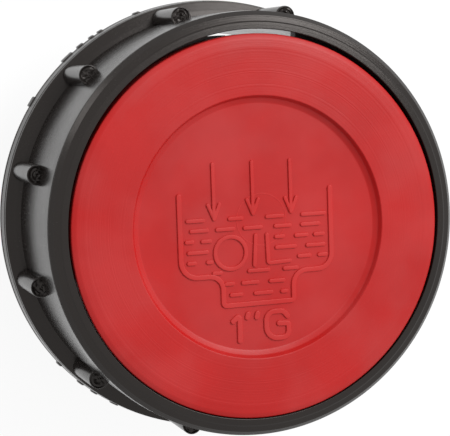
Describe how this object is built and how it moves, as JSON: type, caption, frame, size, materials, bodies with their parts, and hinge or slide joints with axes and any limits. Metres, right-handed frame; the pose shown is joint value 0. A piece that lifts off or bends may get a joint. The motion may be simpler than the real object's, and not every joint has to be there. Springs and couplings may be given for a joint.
{
  "type": "vent screw",
  "caption": "Screw-in filler and breather cap: round black grip cap with pegs and a flange, a red recessed disc set in its face, and a hollow threaded stem with a sealing ring below.",
  "frame": {"origin": "centre of the sealing ring's lower face, on the screw's axis", "axes": "+Z along the screw's axis, from the thread up to the red disc; +Y to the top of the sign on the disc"},
  "size_m": [0.071, 0.071, 0.0444],
  "materials": {
    "cap_black": "satin",
    "disc_red": "satin",
    "stem_black": "satin",
    "seal_rubber": "matte",
    "stem_seal_rubber": "matte",
    "core_white": "matte",
    "filter_foam": "matte",
    "guard_steel": "satin",
    "strainer_steel": "satin",
    "clip_steel": "satin",
    "washer_steel": "satin",
    "screw_steel": "satin"
  },
  "bodies": {
    "root": {"cap_body": "cap_black", "marker_disc": "disc_red", "threaded_stem": "stem_black", "sealing_ring": "seal_rubber", "stem_seal": "stem_seal_rubber", "filter_core": "core_white", "foam_filter": "filter_foam", "splash_guard": "guard_steel", "strainer_disc": "strainer_steel", "guard_clip": "clip_steel", "screw_washers": "washer_steel", "stem_screws": "screw_steel"}
  },
  "joints": []
}
